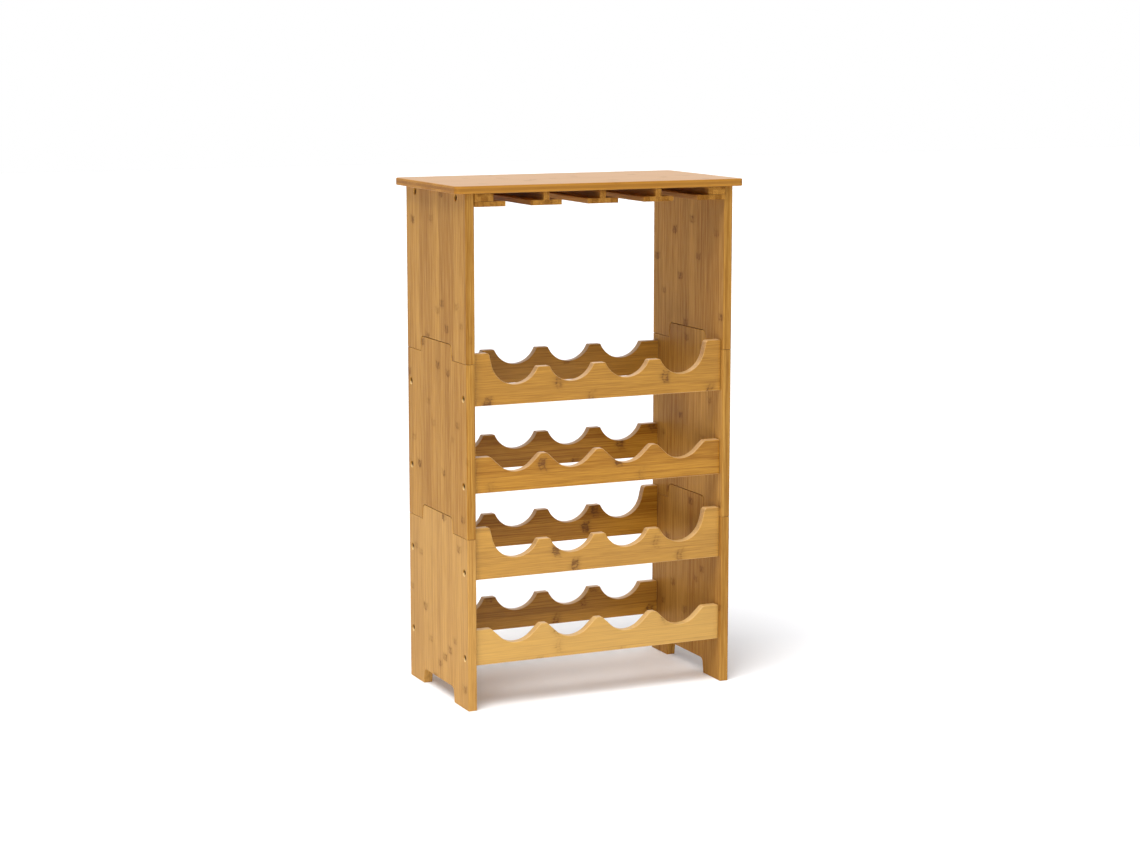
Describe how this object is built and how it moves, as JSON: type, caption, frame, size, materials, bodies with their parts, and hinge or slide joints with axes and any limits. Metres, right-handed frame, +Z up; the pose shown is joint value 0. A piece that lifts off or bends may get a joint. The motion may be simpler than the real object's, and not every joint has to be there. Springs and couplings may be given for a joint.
{
  "type": "wine rack",
  "caption": "Free-standing bamboo wine rack of stacked modules: scalloped rails cradle bottles, and slotted rails under the top board hang stemware.",
  "frame": {"origin": "on the floor, at the middle of the rack's footprint", "axes": "+X to the right seen from the front, +Y from front to back, +Z up"},
  "size_m": [0.506, 0.268, 0.84],
  "materials": {
    "panel_bamboo": "satin lacquered side-pressed bamboo, strips upright",
    "rail_bamboo": "satin lacquered bamboo, strips along the rail",
    "board_bamboo": "satin lacquered bamboo, strips along the board",
    "hanger_bamboo": "satin lacquered bamboo, strips front to back, end grain at the front",
    "dowel_wood": "plain turned wood, hidden",
    "dark_steel": "black-oxide steel screw"
  },
  "bodies": {
    "bottom_module": {"bottom_side_panel_left": "panel_bamboo", "bottom_side_panel_right": "panel_bamboo", "bottom_lower_front_rail": "rail_bamboo", "bottom_lower_back_rail": "rail_bamboo", "bottom_upper_front_rail": "rail_bamboo", "bottom_upper_back_rail": "rail_bamboo", "bottom_lower_front_rail_screw_left": "dark_steel", "bottom_lower_front_rail_screw_right": "dark_steel", "bottom_lower_back_rail_screw_left": "dark_steel", "bottom_lower_back_rail_screw_right": "dark_steel", "bottom_upper_front_rail_screw_left": "dark_steel", "bottom_upper_front_rail_screw_right": "dark_steel", "bottom_upper_back_rail_screw_left": "dark_steel", "bottom_upper_back_rail_screw_right": "dark_steel", "bottom_lower_front_rail_dowel_left": "dowel_wood", "bottom_lower_front_rail_dowel_right": "dowel_wood", "bottom_lower_back_rail_dowel_left": "dowel_wood", "bottom_lower_back_rail_dowel_right": "dowel_wood", "bottom_upper_front_rail_dowel_left": "dowel_wood", "bottom_upper_front_rail_dowel_right": "dowel_wood", "bottom_upper_back_rail_dowel_left": "dowel_wood", "bottom_upper_back_rail_dowel_right": "dowel_wood"},
    "middle_module": {"middle_side_panel_left": "panel_bamboo", "middle_side_panel_right": "panel_bamboo", "middle_lower_front_rail": "rail_bamboo", "middle_lower_back_rail": "rail_bamboo", "middle_upper_front_rail": "rail_bamboo", "middle_upper_back_rail": "rail_bamboo", "middle_lower_front_rail_screw_left": "dark_steel", "middle_lower_front_rail_screw_right": "dark_steel", "middle_lower_back_rail_screw_left": "dark_steel", "middle_lower_back_rail_screw_right": "dark_steel", "middle_upper_front_rail_screw_left": "dark_steel", "middle_upper_front_rail_screw_right": "dark_steel", "middle_upper_back_rail_screw_left": "dark_steel", "middle_upper_back_rail_screw_right": "dark_steel", "middle_lower_front_rail_dowel_left": "dowel_wood", "middle_lower_front_rail_dowel_right": "dowel_wood", "middle_lower_back_rail_dowel_left": "dowel_wood", "middle_lower_back_rail_dowel_right": "dowel_wood", "middle_upper_front_rail_dowel_left": "dowel_wood", "middle_upper_front_rail_dowel_right": "dowel_wood", "middle_upper_back_rail_dowel_left": "dowel_wood", "middle_upper_back_rail_dowel_right": "dowel_wood"},
    "top_module": {"top_side_panel_left": "panel_bamboo", "top_side_panel_right": "panel_bamboo", "top_board": "board_bamboo", "stem_block_left": "hanger_bamboo", "stem_ledge_left": "hanger_bamboo", "stem_block_right": "hanger_bamboo", "stem_ledge_right": "hanger_bamboo", "stem_rail_left": "hanger_bamboo", "stem_rail_centre": "hanger_bamboo", "stem_rail_right": "hanger_bamboo", "stem_block_front_screw_left": "dark_steel", "stem_block_front_screw_right": "dark_steel", "stem_block_back_screw_left": "dark_steel", "stem_block_back_screw_right": "dark_steel"}
  },
  "joints": [
    {"name": "middle_lift", "type": "slide", "parent": "bottom_module", "child": "middle_module", "axis": [0, 0, 1], "range_m": [0, 0.06]},
    {"name": "top_lift", "type": "slide", "parent": "middle_module", "child": "top_module", "axis": [0, 0, 1], "range_m": [0, 0.06]}
  ]
}
